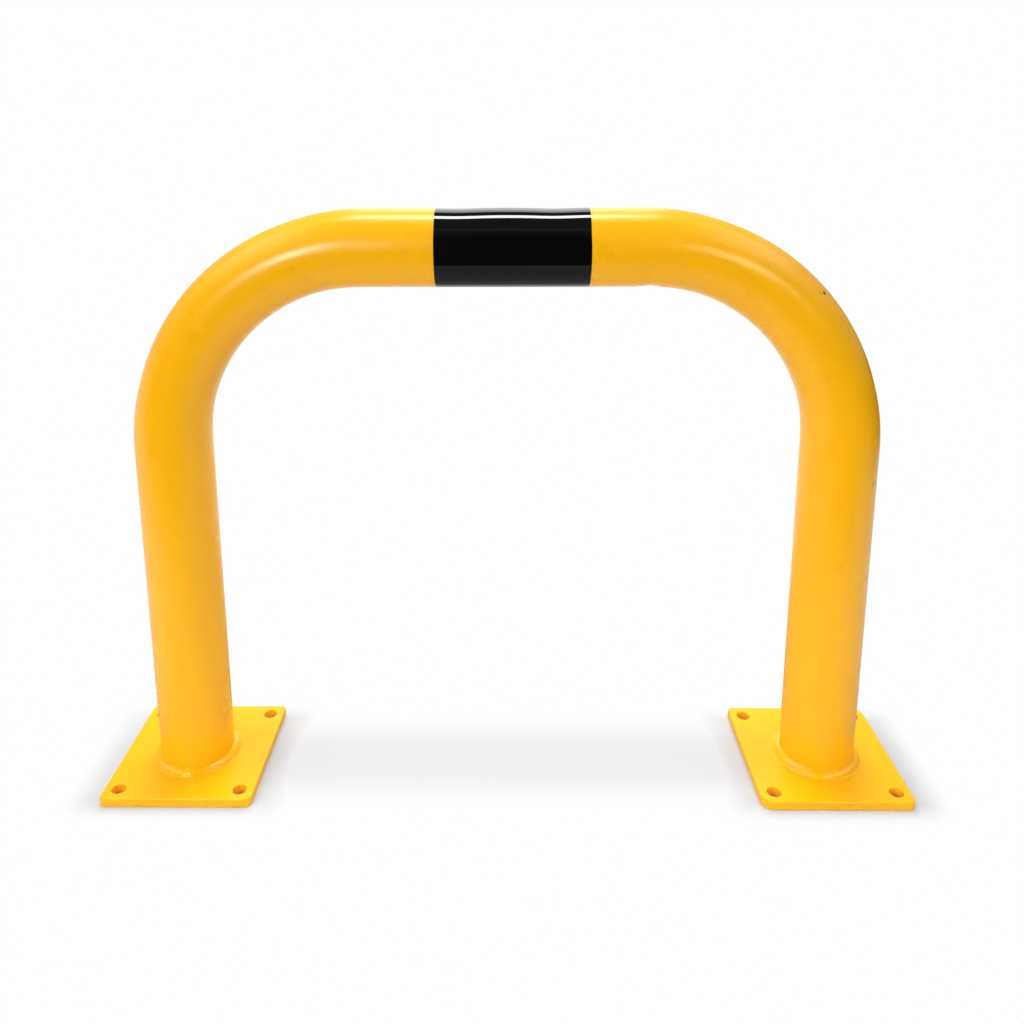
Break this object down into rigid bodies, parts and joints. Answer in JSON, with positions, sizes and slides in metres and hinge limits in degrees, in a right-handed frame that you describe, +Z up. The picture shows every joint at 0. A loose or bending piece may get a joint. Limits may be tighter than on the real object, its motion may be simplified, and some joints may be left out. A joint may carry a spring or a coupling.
{
  "type": "hoop barrier",
  "caption": "Floor-mounted guard hoop of bent round steel tube on square base plates, powder coated yellow, with a black film band on the top bar.",
  "frame": {"origin": "on the floor, halfway between the two legs", "axes": "+X along the hoop from the left leg to the right one, +Y to the back, +Z up"},
  "size_m": [0.8288, 0.155, 0.6003],
  "materials": {
    "yellow_coat": "gloss powder coat",
    "black_film": "gloss"
  },
  "bodies": {
    "root": {"hoop_tube": "yellow_coat", "base_plate_left": "yellow_coat", "base_plate_right": "yellow_coat", "weld_bead_left": "yellow_coat", "weld_bead_right": "yellow_coat", "black_band": "black_film"}
  },
  "joints": []
}
